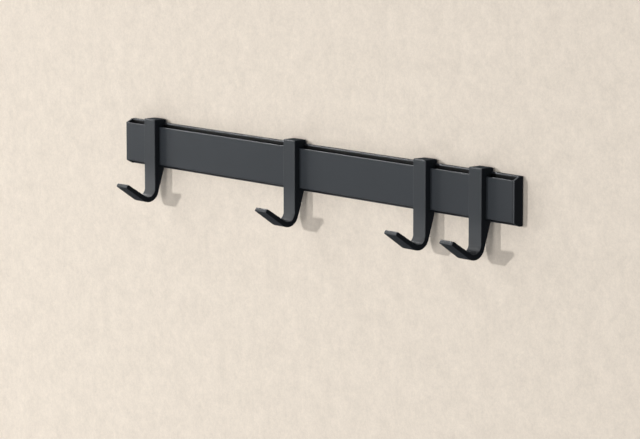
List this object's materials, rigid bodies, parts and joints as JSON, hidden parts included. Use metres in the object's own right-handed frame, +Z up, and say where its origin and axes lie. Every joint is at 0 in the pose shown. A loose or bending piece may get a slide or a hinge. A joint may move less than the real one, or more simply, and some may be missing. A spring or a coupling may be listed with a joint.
{
  "type": "sliding hook rail",
  "caption": "Wall-mounted extruded rail with end caps and J-shaped coat hooks that clasp its front panel and slide along its two grooves.",
  "frame": {"origin": "middle of the rail's back face, which lies on the wall", "axes": "+X along the rail to the right as seen from the room, +Y into the wall, +Z up"},
  "size_m": [0.5, 0.0458, 0.0728],
  "materials": {
    "rail_coating": "satin anthracite coating",
    "hook_coating": "satin anthracite powder coat on cast metal",
    "cap_plastic": "matte anthracite"
  },
  "bodies": {
    "rail": {"rail_profile": "rail_coating", "left_end_cap": "cap_plastic", "right_end_cap": "cap_plastic"},
    "far_left_hook_body": {"far_left_hook": "hook_coating"},
    "centre_hook_body": {"centre_hook": "hook_coating"},
    "right_hook_body": {"right_hook": "hook_coating"},
    "far_right_hook_body": {"far_right_hook": "hook_coating"}
  },
  "joints": [
    {"name": "far_left_hook_slide", "type": "slide", "parent": "rail", "child": "far_left_hook_body", "axis": [1, 0, 0], "range_m": [-0.0295, 0.08765]},
    {"name": "centre_hook_slide", "type": "slide", "parent": "rail", "child": "centre_hook_body", "axis": [1, 0, 0], "range_m": [-0.08765, 0.0734]},
    {"name": "right_hook_slide", "type": "slide", "parent": "rail", "child": "right_hook_body", "axis": [1, 0, 0], "range_m": [-0.0734, 0.02465]},
    {"name": "far_right_hook_slide", "type": "slide", "parent": "rail", "child": "far_right_hook_body", "axis": [1, 0, 0], "range_m": [-0.02465, 0.0295]}
  ]
}
